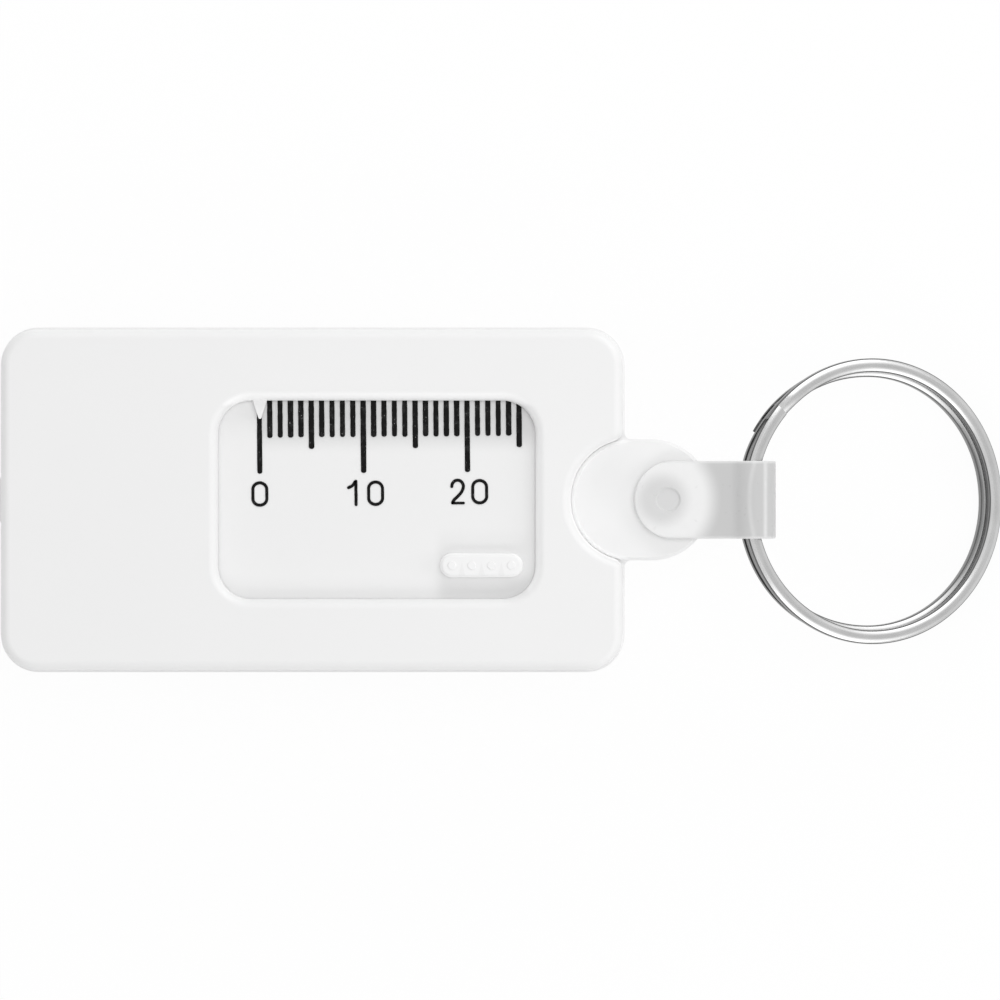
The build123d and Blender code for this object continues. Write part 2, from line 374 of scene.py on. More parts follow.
@dataclass(frozen=True)
class CaseWhite(MouldedWhite):
    """The case's white, with painted highlights on the window's upper and right rims and at the pocket's
    edge.
    """

    # Colour of the painted highlights on the rims and at the pocket's edge.
    rim_highlight_shade: Grey = 0.985
    softness: float = 1.0
    upper_lean: float = 0.35
    upper_start: float = 9.4
    upper_depth: float = 3.0
    upper_centre: float = 6.25
    upper_reach: float = 16.0
    right_lean: tuple[float, float] = (0.3, 0.8)
    right_x: float = 21.7
    right_reach: float = 1.2
    right_softness: float = 0.4
    pocket_centre: float = 30.8
    pocket_radius: float = 5.78
    pocket_band: tuple[float, float] = (0.36, 0.14)

    def tint(self, graph: Graph, white: Shade, x: Signal, y: Signal, z: Signal) -> Shade:
        """Paint highlights on the rims and at the pocket's edge, against their shading.

        Args:
            graph: The material's nodes.
            white: The moulding's plain white.
            x: Millimetres along the gauge.
            y: Millimetres across it.
            z: Height in millimetres; not used.

        Returns:
            The white with its painted highlights.
        """
        end = self.upper_start + self.upper_depth
        # Painted highlight on the window's upper rim.
        upper = graph.facing((0, -1, 0)).ease(0.0, self.upper_lean)
        upper = upper * y.ease(self.upper_start - self.softness / 2, self.upper_start)
        upper = upper * y.ease(end, end - self.softness)
        from_centre = (x - self.upper_centre).size()
        upper = upper * from_centre.ease(self.upper_reach, self.upper_reach - self.softness)
        # Painted light on the window's right rim, against its shading.
        right = graph.facing((-1, 0, 0)).ease(*self.right_lean)
        from_rim = (x - self.right_x).size()
        right = right * from_rim.ease(self.right_reach, self.right_reach - self.right_softness)
        # Painted light along the pocket's edge, over the shadow line there.
        from_pocket = ((x - self.pocket_centre) ** 2 + y * y).root()
        pocket = (from_pocket - self.pocket_radius).size().ease(*self.pocket_band)
        pocket = pocket * x.ease(self.pocket_centre, self.pocket_centre - self.softness)
        return white.towards(self.rim_highlight_shade, upper.larger(right).larger(pocket))


@dataclass(frozen=True)
class SlideWhite(MouldedWhite):
    """The slide's white, with painted shade under the window's upper rim, round the grip and at the window's
    far rims, and painted light on the grip's walls and lobes.
    """

    name: str = "satin_white_slide"
    shade: Grey = 0.866
    cloud_depth: float = 0.015
    roughness: float = 0.38
    plate_levels: tuple[float, float] = (5.57, 5.49)
    # Colour and share of the painted shadow round the grip, below it and along the window's right rim.
    painted_shadow_shade: Grey = 0.66
    painted_shadow_share: float = 0.25
    patch_left: float = 12.2
    left_softness: float = 0.7
    patch_top: float = -3.4
    top_softness: float = 1.2
    grip_foot: float = -7.0
    foot_softness: float = 1.2
    foot_share: float = 0.9
    foot_aside: float = 0.4
    right_start: float = 19.9
    right_full: float = 21.3
    right_share: float = 1.1
    right_on_patch: float = 0.4
    rim_right: float = 21.45
    rim_foot: float = -9.62
    rim_corner: float = 3.2
    rim_softness: float = 0.3
    # Painted light on the grip's walls, against their shading.
    wall_highlight_shade: Grey = 0.99
    wall_levels: tuple[float, float] = (5.47, 5.51)
    wall_lean: tuple[float, float] = (0.9, 0.6)
    # Painted shade under the window's upper rim, across the band of the marks.
    upper_shadow_shade: Grey = 0.71
    upper_shadow_start: tuple[float, float] = (-5.1, -4.7)
    upper_shadow_fade: tuple[float, float] = (4.3, 6.8)
    grip_middle: float = -6.3
    # Painted highlight on the tops of the grip's four lobes, with darker gaps between them.
    lobe_highlight_shade: Grey = 0.907
    lobe_levels: tuple[float, float] = (6.25, 6.35)
    first_lobe: float = 13.48
    lobe_pitch: float = 1.9
    lobe_reach: float = 0.95
    lobe_softness: float = 0.15
    lobe_lean: float = 0.25

    def tint(self, graph: Graph, white: Shade, x: Signal, y: Signal, z: Signal) -> Shade:
        """Paint shade on the plate round the grip and under the window's upper rim, and paint light on the
        grip's walls and lobes.

        Args:
            graph: The material's nodes.
            white: The moulding's plain white.
            x: Millimetres along the gauge.
            y: Millimetres across it.
            z: Height in millimetres.

        Returns:
            The white with its painted shade and light.
        """
        on_plate = z.ease(*self.plate_levels)
        # Painted shadow round the grip, below it and along the window's right rim; it fades out at the
        # window's lower right corner.
        patch = x.ease(self.patch_left - self.left_softness, self.patch_left + self.left_softness)
        patch = patch * y.ease(self.patch_top + self.top_softness, self.patch_top - self.top_softness)
        foot = y.ease(self.grip_foot, self.grip_foot - self.foot_softness)
        foot = self.foot_share * foot * (self.foot_aside + (1 - self.foot_aside) * patch)
        right = self.right_share * x.ease(self.right_start, self.right_full)
        right = right * (1 - (1 - self.right_on_patch) * patch)
        beyond_x = (x - (self.rim_right - self.rim_corner)).larger(0)
        beyond_y = ((self.rim_foot + self.rim_corner) - y).larger(0)
        from_corner = (beyond_x * beyond_x + beyond_y * beyond_y).root()
        inside = on_plate * from_corner.ease(self.rim_corner, self.rim_corner - self.rim_softness)
        # Painted shadow from the grip and the window's right rim.
        painted_shadow = self.painted_shadow_share * (patch + foot + right)
        # Painted light on the grip's walls, against their shading.
        walls = z.ease(*self.wall_levels) * graph.facing((0, 0, 1)).ease(*self.wall_lean)
        # Painted highlights on the grip's raised lobes, where they catch the light.
        along = x - self.first_lobe
        from_lobe = along.math("PINGPONG", along, self.lobe_pitch / 2)
        from_lobe = from_lobe - self.lobe_lean * (y - self.grip_middle)
        lobes = from_lobe.ease(self.lobe_reach, self.lobe_reach - self.lobe_softness)
        lobes = lobes * z.ease(*self.lobe_levels)
        # Painted shade under the window's upper rim, across the marks, darker towards the rim.
        upper_shadow = y.ease(*self.upper_shadow_fade) * x.ease(*self.upper_shadow_start)
        white = white.towards(self.painted_shadow_shade, painted_shadow * inside).towards(self.upper_shadow_shade, upper_shadow * inside)
        return white.towards(self.wall_highlight_shade, walls).towards(self.lobe_highlight_shade, lobes)


@dataclass(frozen=True)
class StampedInk(Finish):
    """Hot-stamped black foil: pinholes where the white shows, and a slightly uneven gloss."""

    name: str = "stamped_black_ink"
    shade: Grey = 0.004
    worn_shade: Grey = 0.02
    pinhole_shade: Grey = 0.6
    pinhole_grain: float = 0.13
    pinhole_levels: tuple[float, float] = (0.7, 0.78)
    wear_grain: float = 0.7
    wear_levels: tuple[float, float] = (0.5, 0.75)
    unevenness: float = 0.25
    texture_height: float = 0.003
    roughness: float = 0.5
    gloss: float = 0.1

    def dress(self, graph: Graph) -> bpy.types.Node:
        """Wear the black a little, then open the pinholes.

        Args:
            graph: The material's nodes.

        Returns:
            The shader.
        """
        point, *_ = graph.place()
        wear = graph.noise(point, self.wear_grain, detail=3)
        fine = graph.noise(point, self.pinhole_grain, detail=2, roughness=0.6)
        uneven = self.unevenness * (wear - 0.5)
        black = graph.grey(self.shade + self.worn_shade * wear.ease(*self.wear_levels))
        pinholes = (fine + uneven).ease(*self.pinhole_levels)
        inputs = {
            "Base Color": black.towards(self.pinhole_shade, pinholes),
            "Roughness": self.roughness + uneven,
            "Normal": graph.bump(fine, self.texture_height),
            "Specular IOR Level": self.gloss,
        }
        return graph.add("ShaderNodeBsdfPrincipled", None, inputs)


@dataclass(frozen=True)
class FrostedStrap(Finish):
    """Frosted translucent band with painted light: milky where the lug lies under it, greyer where nothing
    does, darker over the socket, with painted highlights at its crease, over the ring and along its edges.
    """

    name: str = "frosted_translucent_strap"
    # Painted light where the white lug shows through, a greyer tone where nothing lies under the band, and
    # painted shade over the pivot's socket.
    backed_light_shade: Grey = 0.965
    open_shade: Grey = 0.64
    socket_shadow_shade: Grey = 0.76
    # Painted highlight along the fold's crease.
    crease_highlight_shade: Grey = 0.86
    crease_x: float = 43.66
    crease_width: float = 0.32
    half_width: float = 3.75
    # Painted highlight along the band's edges.
    rim_highlight_shade: Grey = 0.86
    rim_width: float = 0.35
    # Painted highlight where the ring lies under the band.
    ring_highlight_shade: Grey = 0.76
    ring_highlight_radius: float = 13.0
    ring_highlight_width: float = 0.4
    ring_x: float = 54.16
    ring_squash: float = 0.927
    lug_centre: float = 32.7
    lug_radius: float = 5.85
    lug_softness: float = 1.0
    socket_centre: float = 33.7
    socket_radius: float = 2.3
    socket_softness: float = 0.9
    streak_grain: float = 0.8
    streak_depth: float = 0.03
    streak_height: float = 0.002
    crease_least: float = 0.5
    ring_highlight_least: float = 0.3
    roughness: float = 0.3
    roughness_swing: float = 0.15
    refraction: float = 1.49
    cover: float = 0.86

    def dress(self, graph: Graph) -> bpy.types.Node:
        """Paint the light and shade of what is under the milky body, then painted highlights at its crease,
        over the ring and along its edges.

        Args:
            graph: The material's nodes.

        Returns:
            The shader.
        """
        point, x, y, _ = graph.place()
        # Painted light and shade of what lies under the band: lighter over the lug, darker over the socket.
        from_lug = ((x - self.lug_centre) ** 2 + y * y).root()
        inner, outer = self.lug_radius - self.lug_softness, self.lug_radius + self.lug_softness
        open_part = from_lug.ease(inner, outer)
        from_socket = ((x - self.socket_centre) ** 2 + y * y).root()
        inner, outer = self.socket_radius - self.socket_softness, self.socket_radius + self.socket_softness
        socket = from_socket.ease(outer, inner)
        streaks = graph.noise(point, self.streak_grain, detail=4)
        body = graph.grey(self.backed_light_shade + self.streak_depth * (streaks - 0.5))
        body = body.towards(self.socket_shadow_shade, socket).towards(self.open_shade, open_part)
        # Painted highlight along the fold's crease.
        crease = (x - self.crease_x).size().ease(self.crease_width, 0)
        # Painted highlight along the ring where it lies under the band.
        from_ring = (((x - self.ring_x) / self.ring_squash) ** 2 + y * y).root()
        ring_highlight = (from_ring - self.ring_highlight_radius).size().ease(self.ring_highlight_width, 0)
        ring_highlight = ring_highlight * (self.ring_highlight_least + (1 - self.ring_highlight_least) * streaks)
        crease = crease * (self.crease_least + (1 - self.crease_least) * streaks)
        # Painted highlight along the band's edges.
        rim = y.size().ease(self.half_width - self.rim_width, self.half_width)
        body = body.towards(self.ring_highlight_shade, ring_highlight).towards(self.crease_highlight_shade, crease)
        body = body.towards(self.rim_highlight_shade, rim)
        inputs = {
            "Base Color": body,
            "Roughness": self.roughness + self.roughness_swing * (streaks - 0.5),
            "Normal": graph.bump(streaks, self.streak_height),
            "IOR": self.refraction,
            "Alpha": self.cover,
        }
        return graph.add("ShaderNodeBsdfPrincipled", None, inputs)


@dataclass(frozen=True)
class NickelWire(Finish):
    """Nickel-plated wire: bright faces, painted shade on its sides and corners, painted shadow in the groove
    between the turns, and drawing lines.
    """

    name: str = "nickel_plated_wire"
    face_shade: Grey = 0.57
    # Painted shade on the wire's sides, in place of the dark reflections they show.
    painted_side_shade: Grey = 0.24
    side_lean: tuple[float, float] = (0.9, 0.7)
    # Painted shadow in the groove between the turns.
    painted_groove_shade: Grey = 0.03
    groove_half: float = 0.1
    groove_softness: float = 0.06
    groove_lean: tuple[float, float] = (0.95, 0.85)
    outer_groove: float = 0.22
    outer_radii: tuple[float, float] = (13.145, 13.445)
    # Painted dark line on the face's rounded corners.
    painted_corner_shade: Grey = 0.13
    corner_start: tuple[float, float] = (0.92, 0.82)
    corner_end: tuple[float, float] = (0.4, 0.6)
    ring_radius: float = 14.0
    layer_pitch: float = 1.0
    step_start: float = 128.0
    step_end: float = 162.0
    shaded_levels: tuple[float, float] = (-0.02, -0.1)
    shaded_places: tuple[float, float] = (5.0, 11.0)
    line_depth: float = 0.12
    line_height: float = 0.0006
    side_line_depth: float = 0.3
    blotch_depth: float = 0.16
    blotch_grain: float = 3.5
    line_grain: float = 0.05
    line_stretch: float = 60.0
    roughness: float = 0.2
    line_roughness: float = 0.14
    side_roughness: float = 0.08
    tilt: float = 22.0
    centre_x: float = 54.24
    centre_y: float = -0.14
    centre_z: float = -1.464

    def dress(self, graph: Graph) -> bpy.types.Node:
        """Find the place across the wire, then line it and paint shade on its sides, corners and groove.

        Args:
            graph: The material's nodes.

        Returns:
            The shader.
        """
        point, x, y, z = graph.place()
        sine, cosine = math.sin(math.radians(self.tilt)), math.cos(math.radians(self.tilt))
        along_x = (x - self.centre_x) * cosine - (z - self.centre_z) * sine
        height = (x - self.centre_x) * sine + (z - self.centre_z) * cosine
        y = y - self.centre_y
        radius = (along_x * along_x + y * y).root()
        turned = graph.direction(y, along_x)
        across = {"X": radius, "Y": height, "Z": turned * (self.ring_radius / self.line_stretch)}
        wound = graph.add("ShaderNodeCombineXYZ", None, across).outputs[0]
        fine = {"Vector": wound, "Scale": 1 / self.line_grain, "Detail": 3}
        lines = graph.signal("ShaderNodeTexNoise", None, fine)
        blotch = graph.noise(point, self.blotch_grain, detail=3)
        facing = graph.facing((sine, 0, cosine)).size()
        # Painted shade on the wire's sides.
        side = facing.ease(*self.side_lean)
        # Painted dark line where the face turns into the sides.
        corner = facing.ease(*self.corner_start) * facing.ease(*self.corner_end)
        outside = radius.ease(*self.outer_radii)
        degrees = turned * (180 / math.pi)
        past_middle = degrees.math("GREATER_THAN", degrees, (self.step_start + self.step_end) / 2)
        level = self.layer_pitch * (past_middle - degrees.ease(self.step_start, self.step_end))
        # Painted shadow in the groove between the turns, wider on the ring's outer side.
        from_groove = (height - level).size() - self.outer_groove * outside
        groove = from_groove.ease(self.groove_half + self.groove_softness, self.groove_half)
        groove = groove * facing.ease(*self.groove_lean)
        # Painted shade on the lower turn's crown on the ring's far side, where the upper turn shades it.
        shaded = height.ease(*self.shaded_levels) * along_x.ease(*self.shaded_places)
        side = side.larger(shaded)
        lines_about = lines - 0.5
        uneven = self.line_depth * lines_about + self.blotch_depth * (blotch - 0.5)
        face = graph.grey(self.face_shade + uneven)
        wall = graph.grey(self.painted_side_shade + self.side_line_depth * lines_about)
        metal = face.towards(wall, side).towards(self.painted_corner_shade, corner)
        inputs = {
            "Base Color": metal.towards(self.painted_groove_shade, groove),
            "Metallic": 1.0,
            "Roughness": self.roughness + self.line_roughness * lines_about + self.side_roughness * side,
            "Normal": graph.bump(lines, self.line_height),
        }
        return graph.add("ShaderNodeBsdfPrincipled", None, inputs)


@dataclass(frozen=True)
class StudioFloor(Finish):
    """White sweep: it shows white to the eye and in reflections, and keeps part of the object's shadow."""

    name: str = "studio_floor"
    shade: Grey = 0.98
    shadow_share: float = 0.06

    def dress(self, graph: Graph) -> bpy.types.Node:
        """Mix the lit floor with plain white where the eye or a reflection looks at it.

        Args:
            graph: The material's nodes.

        Returns:
            The shader.
        """
        lit = graph.add("ShaderNodeBsdfDiffuse", None, {"Color": self.shade})
        white = graph.add("ShaderNodeEmission", None, {"Color": 1.0, "Strength": 1.0})
        inputs = {0: graph.seen() * (1 - self.shadow_share), 1: lit.outputs[0], 2: white.outputs[0]}
        return graph.add("ShaderNodeMixShader", None, inputs)


@dataclass(frozen=True)
class CardFace(Finish):
    """Face of a studio card that the wire mirrors: black flock, or a panel lit more towards its sides."""

    name: str = "dark_card"
    flock: Grey = 0.02
    glow: float = 0.0
    middle_share: float = 0.34
    side_start: float = 12.0
    side_end: float = 42.0
    unevenness: float = 0.16
    uneven_grain: float = 40.0

    def dress(self, graph: Graph) -> bpy.types.Node:
        """Light the face by the direction it is seen in, a little unevenly.

        Args:
            graph: The material's nodes.

        Returns:
            The shader.
        """
        point, x, y, _ = graph.place()
        degrees = graph.direction(y, x) * (180 / math.pi)
        side = degrees.size().ease(self.side_start, self.side_end)
        share = self.middle_share + (1 - self.middle_share) * side
        cloud = graph.noise(point, self.uneven_grain, detail=3)
        inputs = {
            "Base Color": self.flock,
            "Emission Color": graph.grey(share * (1 + self.unevenness * (cloud - 0.5))),
            "Emission Strength": self.glow,
            "Roughness": 1.0,
        }
        return graph.add("ShaderNodeBsdfPrincipled", None, inputs)


class Mesh:
    """Vertices and faces in millimetres that become one Blender object."""

    def __init__(self) -> None:
        """Start empty."""
        self.points: list[Vector] = []
        self.faces: list[tuple[int, ...]] = []

    def loop(self, points: Sequence[Sequence[float]]) -> list[int]:
        """Add points and give their numbers.

        Args:
            points: Places in millimetres.

        Returns:
            The numbers, in the same order.
        """
        start = len(self.points)
        self.points += [Vector(point) for point in points]
        return list(range(start, len(self.points)))

    def bridge(self, first: Sequence[int], second: Sequence[int], closed: bool = True) -> None:
        """Join two loops of the same length by quads.

        Args:
            first: Numbers of the first loop's points.
            second: Numbers of the second's.
            closed: Whether the last points join the first ones.
        """
        count = len(first)
        for index in range(count if closed else count - 1):
            following = (index + 1) % count
            self.faces.append((first[index], first[following], second[following], second[index]))

    def cap(self, loop: Sequence[int], holes: Sequence[Sequence[int]] = (), up: bool = True) -> None:
        """Fill a flat outline, with holes left open.

        Args:
            loop: Numbers of the outline's points, anticlockwise.
            holes: Numbers of each hole's points.
            up: Whether the face looks along +Z.
        """
        outlines = [list(loop), *map(list, holes)]
        numbers = [number for outline in outlines for number in outline]
        flat = [[self.points[number].to_2d().to_3d() for number in outline] for outline in outlines]
        for corners in tessellate_polygon(flat):
            face = [numbers[corner] for corner in corners]
            first, second, third = (self.points[number] for number in face)
            if ((second - first).cross(third - first).z > 0) != up:
                face.reverse()
            self.faces.append(tuple(face))

    def make(self, name: str, material: bpy.types.Material, sharp_angle: float = 35.0) -> bpy.types.Object:
        """Make the object, with faces turned outwards and normals that keep flat faces flat.

        Args:
            name: Its name.
            material: Its finish.
            sharp_angle: Degrees above which an edge is a crease.

        Returns:
            The object, linked to the scene.
        """
        mesh = bpy.data.meshes.new(name)
        mesh.from_pydata([tuple(point * METRES) for point in self.points], [], self.faces)
        tidy_mesh(mesh, sharp_angle=sharp_angle)
        mesh.materials.append(material)
        piece = bpy.data.objects.new(name, mesh)
        bpy.context.scene.collection.objects.link(piece)
        keep_flat(piece)
        return piece


def keep_flat(piece: bpy.types.Object) -> None:
    """Turn the normals round rounded edges towards the large faces, so that those look flat.

    Args:
        piece: The piece that gets the modifier.
    """
    weighted = piece.modifiers.new("flat_faces", "WEIGHTED_NORMAL")
    weighted.keep_sharp = True
    weighted.weight = 100


def tidy_mesh(mesh: bpy.types.Mesh, smallest: float = 0.001, sharp_angle: float = 35.0) -> None:
    """Merge points that meet, drop slivers, turn faces outwards and mark creases.

    Args:
        mesh: The mesh that changes.
        smallest: Millimetres under which two points are one.
        sharp_angle: Degrees above which an edge is a crease.
    """
    work = bmesh.new()
    work.from_mesh(mesh)
    bmesh.ops.remove_doubles(work, verts=work.verts, dist=smallest * METRES)
    bmesh.ops.dissolve_degenerate(work, edges=work.edges, dist=smallest * METRES)
    bmesh.ops.recalc_face_normals(work, faces=work.faces)
    for face in work.faces:
        face.smooth = True
    for edge in work.edges:
        edge.smooth = len(edge.link_faces) != 2 or edge.calc_face_angle() < math.radians(sharp_angle)
    work.to_mesh(mesh)
    work.free()


def report(piece: bpy.types.Object, place: str) -> None:
    """Log a piece with its size."""
    size = ", ".join(f"{side / METRES:.2f}" for side in piece.dimensions)
    log.info("%s on %s: %s mm", piece.name, place, size)


def wander(seed: int, size: float, waves: int = 5) -> Callable[[float], float]:
    """Make a smooth uneven line.

    Args:
        seed: Which line it is.
        size: Largest distance from zero, roughly.
        waves: How many waves are added up.

    Returns:
        A function of the distance along the line, in turns.
    """
    chance = random.Random(seed)
    parts = []
    for number in range(waves):
        parts.append((chance.uniform(0.6, 1), 2 * number + 1, chance.uniform(0, 2 * math.pi)))
    total = sum(height for height, _, _ in parts)

    def line(turns: float) -> float:
        """Give the line's height at a place along it."""
        return size * sum(h * math.sin(2 * math.pi * n * turns + p) for h, n, p in parts) / total

    return line


@dataclass(frozen=True)
class Stroke:
    """One stroke of a stamped numeral: its middle line, whether it closes, and its share of the width."""

    line: tuple[Point, ...]
    closed: bool = False
    share: float = 1.0


class Numeral(Enum):
    """The numerals of the scale."""

    ZERO = "0"
    ONE = "1"
    TWO = "2"

    def strokes(self) -> list[Stroke]:
        """Give the middle lines.

        Returns:
            Strokes in millimetres, with the origin at the numeral's lower left corner.
        """
        width, height, steps = 1.338, 2.157, 16
        if self is Numeral.ZERO:
            bend = 0.62
            middle = [(width / 2, height - bend), (width / 2, bend)]
            arcs = []
            for (x, y), start in zip(middle, (0, 180)):
                for step in range(steps + 1):
                    angle = math.radians(start + 180 * step / steps)
                    arcs.append((x + width / 2 * math.cos(angle), y + bend * math.sin(angle)))
            return [Stroke(tuple(arcs), closed=True)]
        if self is Numeral.ONE:
            stem = 0.68
            return [Stroke(((-0.03, 1.64), (0.35, 1.84), (0.6, 2.2))), Stroke(((stem, 2.24), (stem, 0.0)))]
        half_bow, bow_height, bow_y, sweep = 0.56, 0.6, 1.6, 205
        bow = []
        for step in range(steps + 1):
            angle = math.radians(180 - sweep * step / steps)
            bow.append((half_bow * (1 + math.cos(angle)), bow_y + bow_height * math.sin(angle)))
        tail = [(0.9, 1.02), (0.52, 0.6), (0.2, 0.3), (0.06, 0.04)]
        return [Stroke(tuple(bow + tail)), Stroke(((0.04, 0.0), (1.13, 0.0)), share=0.85)]


@dataclass
class ScaleSlide:
    """The slide with its stamped scale: marks made finer than the solids, and the numerals."""

    top: float = 5.45
    ink_height: float = 0.05
    zero_x: float = -5.0
    division: float = 1.0
    count: int = 25
    skew: float = 0.5
    mark_top: float = 10.2
    mark_width: float = 0.505
    end_radius: float = 0.2
    lengths: dict[int, float] = field(default_factory=lambda: {10: 7.65, 5: 5.3, 1: 4.2})
    numeral_stroke: float = 0.3
    edge_wander: float = 0.02
    stroke_wander: float = 0.012
    width_swing: float = 0.015
    length_swing: float = 0.03
    numeral_lefts: dict[str, tuple[float, ...]] = field(
        default_factory=lambda: {"0": (-0.69,), "10": (-1.44, 0.457), "20": (-1.53, 0.481)}
    )
    numeral_feet: dict[str, float] = field(default_factory=lambda: {"0": -0.48, "10": -0.5, "20": -0.44})

    def turned(self, x: float, y: float, z: float) -> Vector:
        """Turn a point by the print's skew about the scale's origin."""
        return Matrix.Rotation(math.radians(self.skew), 3, "Z") @ Vector((x, y, z))

    def pad(self, mesh: Mesh, outline: Sequence[Point], holes: Sequence[Sequence[Point]] = ()) -> None:
        """Add one flat pad of ink.

        Args:
            mesh: Where it goes.
            outline: Its outline, anticlockwise.
            holes: Outlines of its holes.
        """
        levels = (self.top, self.top + self.ink_height)
        loops = []
        for points in (outline, *holes):
            low, high = (mesh.loop([self.turned(x, y, z) for x, y in points]) for z in levels)
            mesh.bridge(low, high)
            loops.append((low, high))
        mesh.cap(loops[0][1], [high for _, high in loops[1:]])
        mesh.cap(loops[0][0], [low for low, _ in loops[1:]], up=False)

    def mark(self, mesh: Mesh, number: int) -> None:
        """Add one graduation, with a rounded lower end and slightly uneven sides.

        Args:
            mesh: Where it goes.
            number: Its place in the scale.
        """
        length = next(value for step, value in self.lengths.items() if number % step == 0)
        x = self.zero_x + number * self.division
        uneven = wander(number, self.edge_wander)
        chance = random.Random(number + 100)
        half = self.mark_width / 2 + chance.uniform(-self.width_swing, self.width_swing)
        bottom = self.mark_top - length + chance.uniform(-self.length_swing, self.length_swing)
        steps, end_steps = 16, 8
        left = []
        right = []
        for step in range(steps + 1):
            share = step / steps
            y = bottom + self.end_radius + share * (length - self.end_radius)
            left.append((x - half + uneven(share / 2), y))
            right.append((x + half + uneven(0.5 + share / 2), y))
        end = []
        for step in range(1, end_steps):
            angle = math.pi + math.pi * step / end_steps
            end.append((x + half * math.cos(angle), bottom + self.end_radius * (1 + math.sin(angle))))
        self.pad(mesh, left[::-1] + end + right)

    def stroke(self, mesh: Mesh, stroke: Stroke, x: float, y: float, seed: int) -> None:
        """Add one stroke of a numeral as a ribbon of ink.

        Args:
            mesh: Where it goes.
            stroke: Its middle line.
            x: Left edge of the numeral.
            y: Foot of the numeral.
            seed: Which uneven edge it gets.
        """
        uneven = wander(seed, self.stroke_wander, waves=8)
        line = [Vector((x + px, y + py)) for px, py in stroke.line]
        if not stroke.closed:
            line = self.refined(line)
        count = len(line)
        sides: tuple[list[Point], list[Point]] = ([], [])
        half = self.numeral_stroke / 2 * stroke.share
        for index, point in enumerate(line):
            before = line[index - 1] if index or stroke.closed else point
            after = line[(index + 1) % count] if index < count - 1 or stroke.closed else point
            along = (after - before).normalized()
            across = Vector((-along.y, along.x))
            for side, points in zip((1, -1), sides):
                reach = half + uneven(index / count + 0.25 * side)
                points.append(tuple(point + side * reach * across))
        if stroke.closed:
            self.pad(mesh, sides[1], [sides[0]])
            return
        first = self.round_end(line[0], line[0] - line[1], half)
        last = self.round_end(line[-1], line[-1] - line[-2], half)
        self.pad(mesh, sides[1] + last + sides[0][::-1] + first)

    @staticmethod
    def refined(line: list[Vector]) -> list[Vector]:
        """Put points between those of a line, on a smooth curve through them where it has several.

        Args:
            line: The points that the curve goes through.

        Returns:
            The points with those between them.
        """
        steps, bend_steps = 12, 4
        if len(line) == 2:
            return [line[0].lerp(line[1], step / steps) for step in range(steps + 1)]
        fine = []
        for index in range(len(line) - 1):
            a, b = line[max(index - 1, 0)], line[index]
            c, d = line[index + 1], line[min(index + 2, len(line) - 1)]
            for step in range(bend_steps):
                t = step / bend_steps
                straight = 2 * b + (c - a) * t
                bend = (2 * a - 5 * b + 4 * c - d) * t**2 + (3 * b - a - 3 * c + d) * t**3
                fine.append((straight + bend) / 2)
        return [*fine, line[-1]]

    @staticmethod
    def round_end(centre: Vector, outward: Vector, radius: float) -> list[Point]:
        """Give the points of a half circle round a stroke's end, anticlockwise.

        Args:
            centre: The stroke's last point.
            outward: The way that it ends.
            radius: Half its width.

        Returns:
            The points without the two that the stroke's sides have.
        """
        middle, steps = math.atan2(outward.y, outward.x), 8
        points = []
        for step in range(1, steps):
            angle = middle - math.pi / 2 + math.pi * step / steps
            points.append((centre.x + radius * math.cos(angle), centre.y + radius * math.sin(angle)))
        return points

    def build(self, node: bpy.types.Object, white: bpy.types.Material, ink: bpy.types.Material) -> None:
        """Dress the slide and stamp its scale.

        Args:
            node: The slide's solid.
            white: Its moulding's finish.
            ink: The stamp's finish.
        """
        node.material_slots[0].material = white
        report(node, "slider")
        mesh = Mesh()
        for number in range(self.count + 1):
            self.mark(mesh, number)
        marks = mesh.make("stamped_marks", ink)
        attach(marks, "slider")
        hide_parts("scale_marks")
        report(marks, "slider")
        for text, lefts in self.numeral_lefts.items():
            mesh = Mesh()
            mark_x = self.zero_x + int(text) * self.division
            for index, (letter, left) in enumerate(zip(text, lefts)):
                for number, stroke in enumerate(Numeral(letter).strokes()):
                    seed = int(text) + 7 * index + 31 * number
                    self.stroke(mesh, stroke, mark_x + left, self.numeral_feet[text], seed)
            numeral = mesh.make(f"stamped_numeral_{text}", ink)
            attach(numeral, "slider")
            report(numeral, "slider")


@dataclass
class CaseShells:
    """The two covers of the case."""

    def build(self, covers: Sequence[bpy.types.Object], white: bpy.types.Material) -> None:
        """Dress both covers.

        Args:
            covers: Their solids.
            white: The moulding's finish.
        """
        for cover in covers:
            cover.material_slots[0].material = white
            report(cover, "case")


